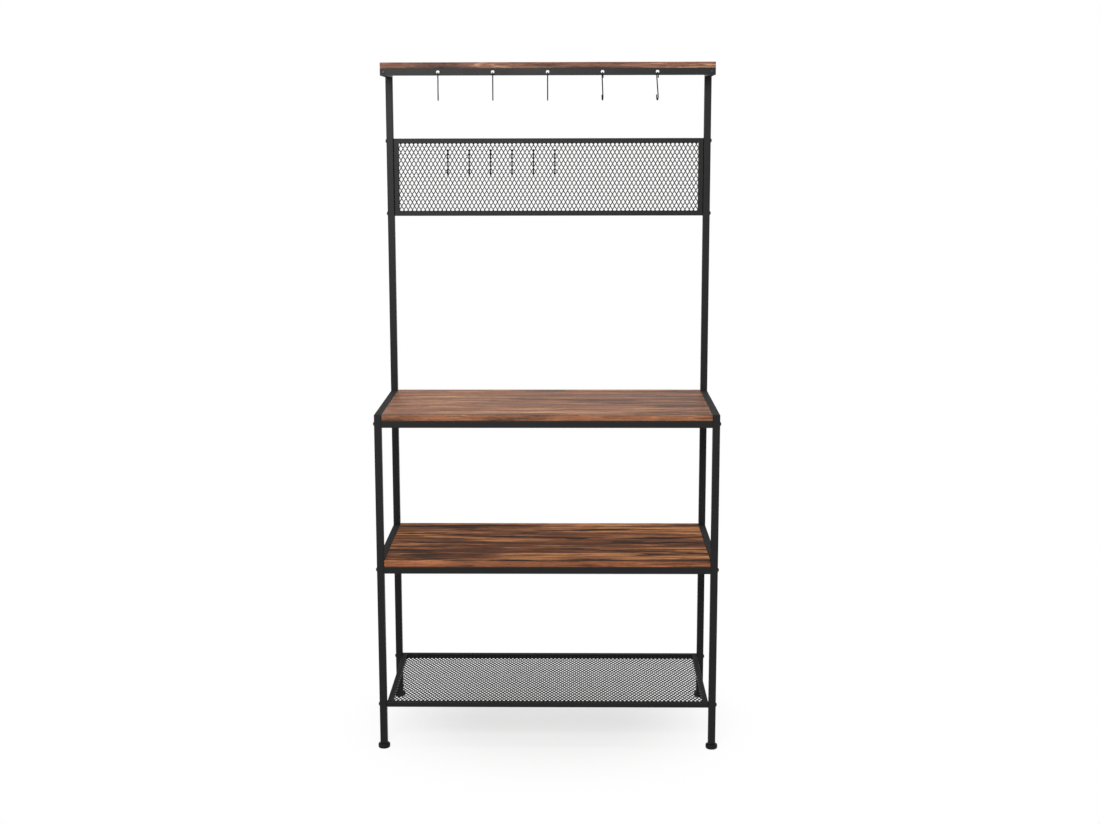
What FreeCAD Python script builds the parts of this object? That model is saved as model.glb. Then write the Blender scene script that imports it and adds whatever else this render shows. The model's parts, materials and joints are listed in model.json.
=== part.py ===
import FreeCAD, Part
import math
import os

# Bakers rack of square steel tube with two wood boards, a wood top shelf, a bottom shelf and a back
# panel of expanded metal, loose S-hooks and levelling feet. Millimetres, +Z up, the front faces -Y,
# and the origin is on the floor under the middle of the rack.

# Whole rack
overall_width = 850.0  # over the legs
overall_depth = 394.0  # over the legs
overall_height = 1720.0  # floor to the top board's upper face
worktop_height = 861.0  # upper face of the worktop
middle_shelf_height = 491.0  # upper face of the middle shelf
bottom_shelf_height = 122.0  # upper face of the bottom shelf's frame
post_seam_rise = 40.0  # of the seam between a rear leg and its upper post over the worktop
post_seam_chamfer = 0.5
top_shelf_depth = 133.0  # from the front rail to the back of the posts

# Square tube of the legs, posts, bars and rails
tube_side = 18.0
tube_wall = 1.2
tube_corner = 2.0  # outer corner radius
inner_corner_share = 0.5  # of the outer corner radius

# Lighter tube of the two mesh frames
frame_tube_side = 13.0
frame_tube_wall = 1.0
frame_tube_corner = 1.5
frame_gap = 0.4  # between a mesh frame and the leg or post beside it

# Wood boards
board_thickness = 15.0
board_edge_round = 1.0
board_gap = 0.5  # between a board and the bar beside it
board_setback = 1.0  # of a board's front and back edges from the legs

# Back panel
panel_height = 202.0
panel_drop = 175.0  # from the top board's underside to the panel

# Expanded metal, with the long way of each gap along Z in the panel and along Y in the shelf
mesh_thickness = 1.2
mesh_strand = 2.5
panel_cell_width = 28.125
panel_cell_height = 50.0
shelf_cell_width = 35.0
shelf_cell_depth = 62.0
least_gap_share = 0.08  # a cut-off gap smaller than this share of a whole one stays filled

# Angle along the front of the top shelf, with a row of hook holes
angle_height = 18.0
angle_flange = 18.0
angle_thickness = 1.5
hook_hole = 8.5
hook_hole_count = 5
hook_hole_spacing = 139.0

# S-hooks
hook_wire = 3.0
hook_bend_radius = 9.0  # of the wire's centre line
hook_bend_distance = 50.0  # between the centres of the two bends
hook_tip_length = 4.0  # straight end past each bend
hook_tip_round = 1.0
hook_gap = 0.3  # between a hook and what it hangs on
rail_hook_turns = [5.5, 3.0, 1.0, -8.0, -15.0]  # degrees about the vertical, left to right
panel_hook_count = 6
panel_hook_cells = 2  # from one hook to the next
first_panel_hook_x = -264.4
panel_hook_drop = 33.4  # from the panel's upper edge to the lowest point of the hooks' gaps

# Levelling feet and the plastic inserts that carry them
foot_pad_diameter = 30.0
foot_pad_height = 12.0
foot_pad_round = 3.5
foot_socket_floor = 4.0  # pad left under the stud
stud_diameter = 8.0
stud_length = 41.0
stud_chamfer = 0.8
insert_flange = 2.0
insert_depth = 24.0
thread_gap = 0.3  # round a stud in its insert
fit_gap = 0.2  # round a plug or sleeve in its tube, and round a bolt or screw in its thread

# Bolts through the legs and posts into threaded plugs in the rails' ends
bolt_diameter = 6.0
bolt_hole = 6.6
bolt_head_diameter = 11.0
bolt_head_height = 3.2
bolt_socket = 4.0  # across the flats
bolt_socket_depth = 1.8
plug_depth = 12.0

# Screws: up into the boards, in the front of the top shelf and in the post joints
screw_diameter = 4.0
screw_hole = 4.6
screw_head_diameter = 8.0
screw_head_height = 2.2
screw_head_taper = 1.0
screw_access_hole = 10.0  # under a rail or arm, for the screw inside it
board_screw_bite = 9.0  # depth of a screw in its board
board_screw_x_shares = [-0.72, 0.0, 0.72]  # of half the rail's length
arm_screw_y_shares = [0.25, 0.72]  # of the arm's length, from its front end

# Sleeves inside the joints between the rear legs and the upper posts
sleeve_length = 100.0
sleeve_wall = 1.5
joint_screw_share = 0.5  # of half the sleeve's length, from the seam
joint_screw_length = 7.0

# Cuts run past what they cut by this much
overrun = 2.0

# Places worked out from the sizes above
half_width = overall_width / 2
half_depth = overall_depth / 2
leg_x = half_width - tube_side / 2
leg_y = half_depth - tube_side / 2
inside_x = half_width - tube_side
inside_y = half_depth - tube_side
leg_bottom = foot_pad_height + insert_flange
post_seam_height = worktop_height + post_seam_rise
worktop_rail_z = worktop_height - board_thickness - tube_side / 2
middle_rail_z = middle_shelf_height - board_thickness - tube_side / 2
shelf_frame_z = bottom_shelf_height - frame_tube_side / 2
frame_x = inside_x - frame_gap
top_shelf_front = half_depth - top_shelf_depth
top_board_bottom = overall_height - board_thickness
panel_top_height = top_board_bottom - panel_drop
panel_bottom_height = panel_top_height - panel_height
panel_rail_heights = [
    panel_bottom_height + frame_tube_side / 2,
    panel_top_height - frame_tube_side / 2,
]
panel_hook_height = panel_top_height - panel_hook_drop
arm_z = top_board_bottom - tube_side / 2
arm_front = top_shelf_front + angle_thickness
tube_bore = tube_side - 2 * tube_wall
frame_bore = frame_tube_side - 2 * frame_tube_wall
wire_radius = hook_wire / 2

X_AXIS = FreeCAD.Vector(1, 0, 0)
Y_AXIS = FreeCAD.Vector(0, 1, 0)
Z_AXIS = FreeCAD.Vector(0, 0, 1)
SIDES = {"left": -1, "right": 1}
ENDS = {"front": -1, "rear": 1}


def at(x, y, z):
    """Point or direction."""
    return FreeCAD.Vector(x, y, z)


def turned(shape, start, axis):
    """Moves a shape that was made along +Z, so that it leaves start along axis."""
    shape.Placement = FreeCAD.Placement(start, FreeCAD.Rotation(Z_AXIS, axis))
    return shape


def rounded_square(side, corner):
    """Closed wire of a square with rounded corners, centred on the Z axis."""
    half = side / 2
    flat = half - corner
    bulge = flat + corner * math.sqrt(0.5)
    edges = []
    for quarter in range(4):
        turn = FreeCAD.Rotation(Z_AXIS, 90 * quarter)
        side_end = turn.multVec(at(half, flat, 0))
        corner_end = turn.multVec(at(flat, half, 0))
        edges.append(Part.makeLine(turn.multVec(at(half, -flat, 0)), side_end))
        edges.append(Part.Arc(side_end, turn.multVec(at(bulge, bulge, 0)), corner_end).toShape())
    return Part.Wire(edges)


def square_bar(start, axis, length, side, corner):
    """Solid square bar whose centre line leaves start along axis."""
    bar = Part.Face(rounded_square(side, corner)).extrude(at(0, 0, length))
    return turned(bar, start, axis)


def square_tube(start, axis, length, side, wall, corner):
    """Square tube whose centre line leaves start along axis."""
    outer_face = Part.Face(rounded_square(side, corner))
    inner_face = Part.Face(rounded_square(side - 2 * wall, corner * inner_corner_share))
    section = outer_face.cut(inner_face).Faces[0]
    return turned(section.extrude(at(0, 0, length)), start, axis)


def main_tube(start, axis, length):
    """Length of the legs' tube."""
    return square_tube(start, axis, length, tube_side, tube_wall, tube_corner)


def frame_tube(start, axis, length):
    """Length of the mesh frames' tube."""
    return square_tube(start, axis, length, frame_tube_side, frame_tube_wall, frame_tube_corner)


def mitred(tube, point, direction):
    """Cuts a tube off at a plane through point, on the side that direction points to."""
    reach = 3 * tube_side
    block = Part.makeBox(reach, reach, reach, at(-reach / 2, -reach / 2, 0))
    return tube.cut(turned(block, point, direction))


def drilled(shape, start, axis, length, diameter):
    """Shape with a round hole that leaves start along axis."""
    return shape.cut(Part.makeCylinder(diameter / 2, length, start, axis))


def turned_solid(profile):
    """Solid of revolution about the Z axis from a closed chain of edges in the XZ plane."""
    return Part.Face(Part.Wire(profile)).revolve(at(0, 0, 0), Z_AXIS, 360)


def polyline(points):
    """Straight edges through the points."""
    return [Part.makeLine(a, b) for a, b in zip(points, points[1:])]


def bolt(length):
    """Button-head bolt: its head stands on the XY plane, and its shank hangs below."""
    head_radius = bolt_head_diameter / 2
    shank_radius = bolt_diameter / 2
    top = at(0, 0, bolt_head_height)
    rim = at(head_radius, 0, 0)
    crown = at(head_radius * math.sqrt(0.5), 0, bolt_head_height * math.sqrt(0.5))
    profile = [Part.Arc(rim, crown, top).toShape()]
    profile += polyline(
        [top, at(0, 0, -length), at(shank_radius, 0, -length), at(shank_radius, 0, 0), rim]
    )
    socket_radius = bolt_socket / math.sqrt(3)
    corners = [
        FreeCAD.Rotation(Z_AXIS, 60 * turn).multVec(at(socket_radius, 0, 0)) for turn in range(7)
    ]
    socket = Part.Face(Part.makePolygon(corners)).extrude(at(0, 0, bolt_head_height))
    socket.translate(at(0, 0, bolt_head_height - bolt_socket_depth))
    return turned_solid(profile).cut(socket)


def screw(length):
    """Pan-head screw: its head stands on the XY plane, and its shank hangs below."""
    head_radius = screw_head_diameter / 2
    shank_radius = screw_diameter / 2
    points = [at(0, 0, -length), at(shank_radius, 0, -length), at(shank_radius, 0, 0)]
    points += [at(head_radius, 0, 0), at(head_radius - screw_head_taper, 0, screw_head_height)]
    points += [at(0, 0, screw_head_height)]
    return turned_solid(polyline(points + points[:1]))


def end_plug(start, axis, bore, corner, thread_diameter):
    """Threaded plug that fills the end of a tube's bore."""
    plug = square_bar(start, axis, plug_depth, bore - 2 * fit_gap, corner * inner_corner_share)
    return drilled(plug, start, axis, plug_depth, thread_diameter + 2 * fit_gap)


def rail_plug(start, axis):
    """Plug for a bolt in an end of the legs' tube."""
    return end_plug(start, axis, tube_bore, tube_corner, bolt_diameter)


def frame_plug(start, axis):
    """Plug for a bolt in an end of the mesh frames' tube."""
    return end_plug(start, axis, frame_bore, frame_tube_corner, bolt_diameter)


def clipped(polygon, low_x, low_y, high_x, high_y):
    """Part of a convex polygon, a list of (x, y), that lies inside a rectangle."""
    for along, limit, sign in ((0, low_x, 1), (0, high_x, -1), (1, low_y, 1), (1, high_y, -1)):
        kept = []
        for a, b in zip(polygon, polygon[1:] + polygon[:1]):
            a_in = sign * (a[along] - limit)
            b_in = sign * (b[along] - limit)
            if a_in >= 0:
                kept.append(a)
            if a_in * b_in < 0:
                share = a_in / (a_in - b_in)
                kept.append((a[0] + (b[0] - a[0]) * share, a[1] + (b[1] - a[1]) * share))
        polygon = kept
    return polygon


def polygon_area(polygon):
    """Area of a polygon, a list of (x, y)."""
    pairs = zip(polygon, polygon[1:] + polygon[:1])
    return abs(sum(a[0] * b[1] - b[0] * a[1] for a, b in pairs)) / 2


def gap_scale(cell_width, cell_length):
    """Size of a gap against its cell, with half a strand taken off each of its four sides."""
    side_distance = cell_width * cell_length / 2 / math.hypot(cell_width, cell_length)
    return 1 - mesh_strand / 2 / side_distance


def expanded_sheet(width, length, cell_width, cell_length, gap_x, gap_y):
    """Sheet in the XY plane with rows of diamond gaps, one of them centred on (gap_x, gap_y)."""
    scale = gap_scale(cell_width, cell_length)
    half_gap = (cell_width / 2 * scale, cell_length / 2 * scale)
    least_area = 2 * half_gap[0] * half_gap[1] * least_gap_share
    edge = (width / 2 - mesh_strand, length / 2 - mesh_strand)
    corners = [at(-width / 2, -length / 2, 0), at(width / 2, -length / 2, 0)]
    corners += [at(width / 2, length / 2, 0), at(-width / 2, length / 2, 0)]
    wires = [Part.makePolygon(corners + corners[:1])]
    columns = math.ceil(width / cell_width)
    rows = math.ceil(length / cell_length)
    for row in range(-2 * rows, 2 * rows + 1):
        for column in range(-columns, columns + 1):
            x = gap_x + (column + row % 2 / 2) * cell_width
            y = gap_y + row * cell_length / 2
            diamond = [(x - half_gap[0], y), (x, y - half_gap[1])]
            diamond += [(x + half_gap[0], y), (x, y + half_gap[1])]
            gap = clipped(diamond, -edge[0], -edge[1], edge[0], edge[1])
            if len(gap) > 2 and polygon_area(gap) > least_area:
                wires.append(Part.makePolygon([at(*point, 0) for point in gap + gap[:1]]))
    sheet = Part.makeFace(wires, "Part::FaceMakerBullseye").extrude(at(0, 0, mesh_thickness))
    sheet.translate(at(0, 0, -mesh_thickness / 2))
    return sheet


def hook_tip(start, axis):
    """Straight end of a hook, which leaves start along axis and is rounded at its far end."""
    tip = Part.makeCylinder(wire_radius, hook_tip_length)
    rim = [edge for edge in tip.Edges if edge.BoundBox.ZMin > hook_tip_length / 2]
    return turned(tip.makeFillet(hook_tip_round, rim), start, axis)


def s_hook():
    """S-hook hanging straight down, with the middle of its upper bend at the origin."""
    upper = at(0, 0, -hook_bend_radius)
    lower = upper - at(0, 0, hook_bend_distance)
    slant = math.asin(2 * hook_bend_radius / hook_bend_distance)
    shank_offset = at(0, math.cos(slant), math.sin(slant)) * hook_bend_radius
    shank_top = upper - shank_offset
    shank = lower + shank_offset - shank_top
    pieces_of_hook = [Part.makeCylinder(wire_radius, shank.Length, shank_top, shank)]
    for centre, end in ((upper, 1), (lower, -1)):
        bend_start = centre + at(0, end * hook_bend_radius, 0)
        section = Part.Face(Part.Wire(Part.makeCircle(wire_radius, bend_start, Z_AXIS)))
        pieces_of_hook.append(section.revolve(centre, X_AXIS, 180 + math.degrees(slant)))
        pieces_of_hook.append(hook_tip(bend_start, Z_AXIS * -end))
    return pieces_of_hook[0].multiFuse(pieces_of_hook[1:]).removeSplitter()


def rail_hook_pivots():
    """Middle of each rail hook's upper bend, in the bottom of its hole."""
    hole_z = top_board_bottom - angle_height / 2
    pivot_z = hole_z - hook_hole / 2 + hook_gap + wire_radius
    pivot_y = top_shelf_front + angle_thickness / 2
    first = -(hook_hole_count - 1) / 2 * hook_hole_spacing
    return [at(first + i * hook_hole_spacing, pivot_y, pivot_z) for i in range(hook_hole_count)]


def panel_hook_pivots():
    """Middle of each panel hook's upper bend, in the bottom of its gap in the mesh."""
    half_angle = math.atan(panel_cell_width / panel_cell_height)
    pivot_z = panel_hook_height + (wire_radius + hook_gap) / math.sin(half_angle)
    step = panel_hook_cells * panel_cell_width
    return [at(first_panel_hook_x + i * step, leg_y, pivot_z) for i in range(panel_hook_count)]


def panel_hook_tilt():
    """Angle at which a panel hook leans on the mesh with the back of its lower bend."""
    reach = hook_bend_radius + wire_radius + mesh_thickness / 2 + hook_gap
    return math.degrees(math.asin(reach / (hook_bend_radius + hook_bend_distance)))


def foot_pad(x, y):
    """Round plastic pad with a socket for its stud."""
    radius = foot_pad_diameter / 2
    shoulder = radius - foot_pad_round
    bulge = foot_pad_round * math.sqrt(0.5)
    low = foot_pad_round
    high = foot_pad_height - foot_pad_round
    base_edge = at(shoulder, 0, 0)
    side_low = at(radius, 0, low)
    side_high = at(radius, 0, high)
    top_edge = at(shoulder, 0, foot_pad_height)
    profile = polyline([at(0, 0, foot_pad_height), at(0, 0, 0), base_edge])
    profile.append(Part.Arc(base_edge, at(shoulder + bulge, 0, low - bulge), side_low).toShape())
    profile += polyline([side_low, side_high])
    profile.append(Part.Arc(side_high, at(shoulder + bulge, 0, high + bulge), top_edge).toShape())
    profile += polyline([top_edge, at(0, 0, foot_pad_height)])
    socket = stud_diameter + 2 * fit_gap
    pad = drilled(
        turned_solid(profile), at(0, 0, foot_socket_floor), Z_AXIS, foot_pad_height, socket
    )
    pad.translate(at(x, y, 0))
    return pad


def foot_stud(x, y):
    """Threaded stud that stands in its pad."""
    radius = stud_diameter / 2
    top = foot_socket_floor + stud_length
    points = [at(0, 0, foot_socket_floor), at(radius, 0, foot_socket_floor)]
    points += [at(radius, 0, top - stud_chamfer), at(radius - stud_chamfer, 0, top), at(0, 0, top)]
    stud = turned_solid(polyline(points + points[:1]))
    stud.translate(at(x, y, 0))
    return stud


def leg_insert(x, y):
    """Plastic insert in a leg's lower end, with a flange under the tube."""
    flange = square_bar(at(x, y, foot_pad_height), Z_AXIS, insert_flange, tube_side, tube_corner)
    body = square_bar(
        at(x, y, leg_bottom),
        Z_AXIS,
        insert_depth - insert_flange,
        tube_bore - 2 * fit_gap,
        tube_corner * inner_corner_share,
    )
    insert = flange.fuse(body).removeSplitter()
    start = at(x, y, foot_pad_height)
    return drilled(insert, start, Z_AXIS, insert_depth, stud_diameter + 2 * thread_gap)


def bolted(tube, x, y, heights):
    """Tube with bolt holes along X through both of its walls."""
    for z in heights:
        start = at(x - tube_side / 2 - overrun, y, z)
        tube = drilled(tube, start, X_AXIS, tube_side + 2 * overrun, bolt_hole)
    return tube


def seam_chamfered(tube):
    """Leg or post with the outer edges of its end at the seam chamfered."""
    end_face = min(
        tube.Faces,
        key=lambda face: abs(face.BoundBox.ZMin - post_seam_height)
        + abs(face.BoundBox.ZMax - post_seam_height),
    )
    return tube.makeChamfer(post_seam_chamfer, end_face.OuterWire.Edges)


def screw_drilled(tube, middle):
    """Tube with a screw hole above its centre line, and below it a wider hole to reach the screw."""
    tube = drilled(tube, middle, Z_AXIS, tube_side, screw_hole)
    return drilled(tube, middle, -Z_AXIS, tube_side, screw_access_hole)


def joint_screw_heights():
    """Heights of the two screws that hold a sleeve."""
    offset = sleeve_length / 2 * joint_screw_share
    return [post_seam_height - offset, post_seam_height + offset]


def joint_drilled(shape, x, z, diameter):
    """Shape with a screw hole through its rear wall."""
    return drilled(shape, at(x, leg_y, z), Y_AXIS, tube_side, diameter)


def shelf_board(top):
    """Board between the side bars, standing on the front and rear rails."""
    width = 2 * (inside_x - board_gap)
    depth = overall_depth - 2 * board_setback
    board = Part.makeBox(
        width, depth, board_thickness, at(-width / 2, -depth / 2, top - board_thickness)
    )
    board = board.makeFillet(board_edge_round, board.Edges)
    for start in rail_screw_seats(top - board_thickness):
        board = drilled(board, start, Z_AXIS, board_screw_bite, screw_diameter + 2 * fit_gap)
    return board


def rail_screw_seats(z):
    """Places of a board's screws along its two rails, at height z."""
    return [
        at(share * inside_x, end * leg_y, z) for end in ENDS.values() for share in board_screw_x_shares
    ]


def shelf_rail(end, z):
    """Rail between two legs, drilled for the board's screws."""
    rail = main_tube(at(-inside_x, end * leg_y, z), X_AXIS, 2 * inside_x)
    for seat in rail_screw_seats(z):
        if seat.y * end > 0:
            rail = screw_drilled(rail, seat)
    return rail


def arm_screw_seats(z):
    """Places of the top board's screws along the two arms, at height z."""
    length = half_depth - arm_front
    return [
        at(side * leg_x, arm_front + share * length, z)
        for side in SIDES.values()
        for share in arm_screw_y_shares
    ]


def angle_screw_seats(z):
    """Places of the top board's screws along the front angle, at height z."""
    y = top_shelf_front + angle_flange / 2
    return [at(share * inside_x, y, z) for share in board_screw_x_shares]


def top_board():
    """Board on the arms and the front angle."""
    board = Part.makeBox(
        overall_width,
        top_shelf_depth,
        board_thickness,
        at(-half_width, top_shelf_front, top_board_bottom),
    )
    board = board.makeFillet(board_edge_round, board.Edges)
    for start in arm_screw_seats(top_board_bottom) + angle_screw_seats(top_board_bottom):
        board = drilled(board, start, Z_AXIS, board_screw_bite, screw_diameter + 2 * fit_gap)
    return board


def top_front_angle():
    """Angle with a row of hook holes, notched at its ends round the arms."""
    low_z = top_board_bottom - angle_height
    face = Part.makeBox(
        overall_width, angle_thickness, angle_height, at(-half_width, top_shelf_front, low_z)
    )
    ledge_length = 2 * (inside_x - board_gap)
    ledge = Part.makeBox(
        ledge_length,
        angle_flange,
        angle_thickness,
        at(-ledge_length / 2, top_shelf_front, top_board_bottom - angle_thickness),
    )
    angle = face.fuse(ledge).removeSplitter()
    front = top_shelf_front - overrun
    depth = angle_thickness + 2 * overrun
    for pivot in rail_hook_pivots():
        start = at(pivot.x, front, top_board_bottom - angle_height / 2)
        angle = drilled(angle, start, Y_AXIS, depth, hook_hole)
    for side in SIDES.values():
        angle = drilled(angle, at(side * leg_x, front, arm_z), Y_AXIS, depth, screw_hole)
    for seat in angle_screw_seats(top_board_bottom - angle_thickness - overrun):
        angle = drilled(angle, seat, Z_AXIS, depth, screw_hole)
    return angle


pieces = {}

# Two side frames: legs, side bars, upper posts, sleeves and top arms
mitre_front = at(0, 1, 1)
mitre_back = at(0, -1, 1)
for side_name, side in SIDES.items():
    x = side * leg_x
    bolt_heights = [shelf_frame_z, middle_rail_z, worktop_rail_z]

    front_corner = at(x, -half_depth, worktop_height)
    front_leg = main_tube(at(x, -leg_y, leg_bottom), Z_AXIS, worktop_height - leg_bottom)
    front_leg = mitred(front_leg, front_corner, mitre_front)
    pieces[side_name + "_front_leg"] = bolted(front_leg, x, -leg_y, bolt_heights)

    rear_leg = main_tube(at(x, leg_y, leg_bottom), Z_AXIS, post_seam_height - leg_bottom)
    rear_leg = bolted(seam_chamfered(rear_leg), x, leg_y, bolt_heights)
    seam_screw_low, seam_screw_high = joint_screw_heights()
    pieces[side_name + "_rear_leg"] = joint_drilled(rear_leg, x, seam_screw_low, screw_hole)

    bar_z = worktop_height - tube_side / 2
    worktop_bar = main_tube(at(x, -half_depth, bar_z), Y_AXIS, half_depth + inside_y)
    pieces[side_name + "_worktop_side_bar"] = mitred(worktop_bar, front_corner, -mitre_front)

    middle_bar_z = middle_shelf_height - tube_side / 2
    pieces[side_name + "_middle_side_bar"] = main_tube(
        at(x, -inside_y, middle_bar_z), Y_AXIS, 2 * inside_y
    )

    top_corner = at(x, half_depth, top_board_bottom)
    post = main_tube(at(x, leg_y, post_seam_height), Z_AXIS, top_board_bottom - post_seam_height)
    post = mitred(seam_chamfered(post), top_corner, mitre_back)
    post = bolted(post, x, leg_y, panel_rail_heights)
    pieces[side_name + "_upper_post"] = joint_drilled(post, x, seam_screw_high, screw_hole)

    arm = main_tube(at(x, arm_front, arm_z), Y_AXIS, half_depth - arm_front)
    arm = mitred(arm, top_corner, -mitre_back)
    for seat in arm_screw_seats(arm_z):
        if seat.x * side > 0:
            arm = screw_drilled(arm, seat)
    pieces[side_name + "_top_arm"] = arm

    sleeve = square_tube(
        at(x, leg_y, post_seam_height - sleeve_length / 2),
        Z_AXIS,
        sleeve_length,
        tube_bore - 2 * fit_gap,
        sleeve_wall,
        tube_corner * inner_corner_share,
    )
    for z in joint_screw_heights():
        sleeve = joint_drilled(sleeve, x, z, screw_diameter + 2 * fit_gap)
    pieces[side_name + "_post_sleeve"] = sleeve

# Rails between the side frames, and the boards
for end_name, end in ENDS.items():
    pieces["worktop_" + end_name + "_rail"] = shelf_rail(end, worktop_rail_z)
    pieces["middle_" + end_name + "_rail"] = shelf_rail(end, middle_rail_z)
pieces["worktop_board"] = shelf_board(worktop_height)
pieces["middle_board"] = shelf_board(middle_shelf_height)
pieces["top_front_angle"] = top_front_angle()
pieces["top_board"] = top_board()

# Bottom shelf: a frame of lighter tube with a sheet of expanded metal in its middle plane
side_rail_x = frame_x - frame_tube_side / 2
side_rail_end = leg_y - frame_tube_side / 2
for end_name, end in ENDS.items():
    pieces["bottom_shelf_" + end_name + "_rail"] = frame_tube(
        at(-frame_x, end * leg_y, shelf_frame_z), X_AXIS, 2 * frame_x
    )
for side_name, side in SIDES.items():
    rail = frame_tube(
        at(side * side_rail_x, -side_rail_end, shelf_frame_z), Y_AXIS, 2 * side_rail_end
    )
    pieces["bottom_shelf_" + side_name + "_rail"] = rail
mesh_width = 2 * (frame_x - frame_tube_side)
shelf_mesh = expanded_sheet(mesh_width, 2 * side_rail_end, shelf_cell_width, shelf_cell_depth, 0, 0)
shelf_mesh.translate(at(0, 0, shelf_frame_z))
pieces["bottom_shelf_mesh"] = shelf_mesh

# Back panel: a mitred frame of lighter tube with a sheet of expanded metal in its middle plane
panel_middle_z = panel_bottom_height + panel_height / 2
panel_half_height = panel_height / 2
for level_name, level in {"bottom": -1, "top": 1}.items():
    rail_z = panel_middle_z + level * (panel_half_height - frame_tube_side / 2)
    rail = frame_tube(at(-frame_x, leg_y, rail_z), X_AXIS, 2 * frame_x)
    for side in SIDES.values():
        corner = at(side * frame_x, leg_y, panel_middle_z + level * panel_half_height)
        rail = mitred(rail, corner, at(side, 0, -level))
    pieces["panel_" + level_name + "_rail"] = rail
for side_name, side in SIDES.items():
    stile_start = at(side * (frame_x - frame_tube_side / 2), leg_y, panel_bottom_height)
    stile = frame_tube(stile_start, Z_AXIS, panel_height)
    for level in (-1, 1):
        corner = at(side * frame_x, leg_y, panel_middle_z + level * panel_half_height)
        stile = mitred(stile, corner, at(-side, 0, level))
        hole_z = corner.z - level * frame_tube_side / 2
        hole_start = at(side * (frame_x - frame_tube_wall - overrun), leg_y, hole_z)
        hole_length = frame_tube_wall + 2 * overrun
        stile = drilled(stile, hole_start, X_AXIS * side, hole_length, bolt_hole)
    pieces["panel_" + side_name + "_stile"] = stile
mesh_height = panel_height - 2 * frame_tube_side
half_gap_height = panel_cell_height / 2 * gap_scale(panel_cell_width, panel_cell_height)
panel_mesh = expanded_sheet(
    mesh_width,
    mesh_height,
    panel_cell_width,
    panel_cell_height,
    first_panel_hook_x,
    panel_hook_height + half_gap_height - panel_middle_z,
)
panel_mesh.rotate(at(0, 0, 0), X_AXIS, 90)
panel_mesh.translate(at(0, leg_y, panel_middle_z))
pieces["panel_mesh"] = panel_mesh

# S-hooks in the front angle and on the back panel
for number, pivot in enumerate(rail_hook_pivots(), 1):
    hook = s_hook()
    hook.rotate(at(0, 0, 0), Z_AXIS, rail_hook_turns[number - 1])
    hook.translate(pivot)
    pieces[f"rail_hook_{number}"] = hook
for number, pivot in enumerate(panel_hook_pivots(), 1):
    hook = s_hook()
    hook.rotate(at(0, 0, 0), X_AXIS, -panel_hook_tilt())
    hook.translate(pivot)
    pieces[f"panel_hook_{number}"] = hook

# Levelling feet
inserts = []
for side_name, side in SIDES.items():
    for end_name, end in ENDS.items():
        foot_name = side_name + "_" + end_name + "_foot"
        pieces[foot_name + "_pad"] = foot_pad(side * leg_x, end * leg_y)
        pieces[foot_name + "_stud"] = foot_stud(side * leg_x, end * leg_y)
        inserts.append(leg_insert(side * leg_x, end * leg_y))
pieces["leg_inserts"] = Part.makeCompound(inserts)

# Bolts through the legs and posts, and the plugs that they screw into
bolts = []
rail_plugs = []
frame_plugs = []
bolt_length = tube_side + plug_depth
for side in SIDES.values():
    for end in ENDS.values():
        places = [(end * leg_y, z) for z in (worktop_rail_z, middle_rail_z)]
        rail_plugs += [rail_plug(at(side * inside_x, y, z), X_AXIS * -side) for y, z in places]
        places.append((end * leg_y, shelf_frame_z))
        plug_start = at(side * frame_x, end * leg_y, shelf_frame_z)
        frame_plugs.append(frame_plug(plug_start, X_AXIS * -side))
        for y, z in places:
            bolts.append(turned(bolt(bolt_length), at(side * half_width, y, z), X_AXIS * side))
    for z in panel_rail_heights:
        plug_x = frame_x - frame_tube_wall - frame_tube_corner * inner_corner_share
        frame_plugs.append(frame_plug(at(side * plug_x, leg_y, z), X_AXIS * -side))
        bolts.append(turned(bolt(bolt_length), at(side * half_width, leg_y, z), X_AXIS * side))
pieces["frame_bolts"] = Part.makeCompound(bolts)
pieces["rail_end_plugs"] = Part.makeCompound(rail_plugs)
pieces["frame_end_plugs"] = Part.makeCompound(frame_plugs)

# Screws that hold the boards, the front angle and the post joints
downward = -Z_AXIS
tube_screw_length = tube_wall + board_screw_bite
tube_screw_seats = arm_screw_seats(top_board_bottom - tube_wall)
for board_bottom in (worktop_height - board_thickness, middle_shelf_height - board_thickness):
    tube_screw_seats += rail_screw_seats(board_bottom - tube_wall)
board_screws = [turned(screw(tube_screw_length), seat, downward) for seat in tube_screw_seats]
angle_screw_length = angle_thickness + board_screw_bite
for seat in angle_screw_seats(top_board_bottom - angle_thickness):
    board_screws.append(turned(screw(angle_screw_length), seat, downward))
pieces["board_screws"] = Part.makeCompound(board_screws)

angle_screws = []
arm_plugs = []
joint_screws = []
for side in SIDES.values():
    screw_seat = at(side * leg_x, top_shelf_front, arm_z)
    angle_screws.append(turned(screw(angle_thickness + plug_depth), screw_seat, -Y_AXIS))
    plug_seat = at(side * leg_x, arm_front, arm_z)
    arm_plugs.append(end_plug(plug_seat, Y_AXIS, tube_bore, tube_corner, screw_diameter))
    for z in joint_screw_heights():
        joint_seat = at(side * leg_x, half_depth, z)
        joint_screws.append(turned(screw(joint_screw_length), joint_seat, Y_AXIS))
pieces["angle_screws"] = Part.makeCompound(angle_screws)
pieces["arm_end_plugs"] = Part.makeCompound(arm_plugs)
pieces["joint_screws"] = Part.makeCompound(joint_screws)

os.makedirs("parts", exist_ok=True)
for name, shape in pieces.items():
    shape.exportStep(os.path.join("parts", name + ".step"))
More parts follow.
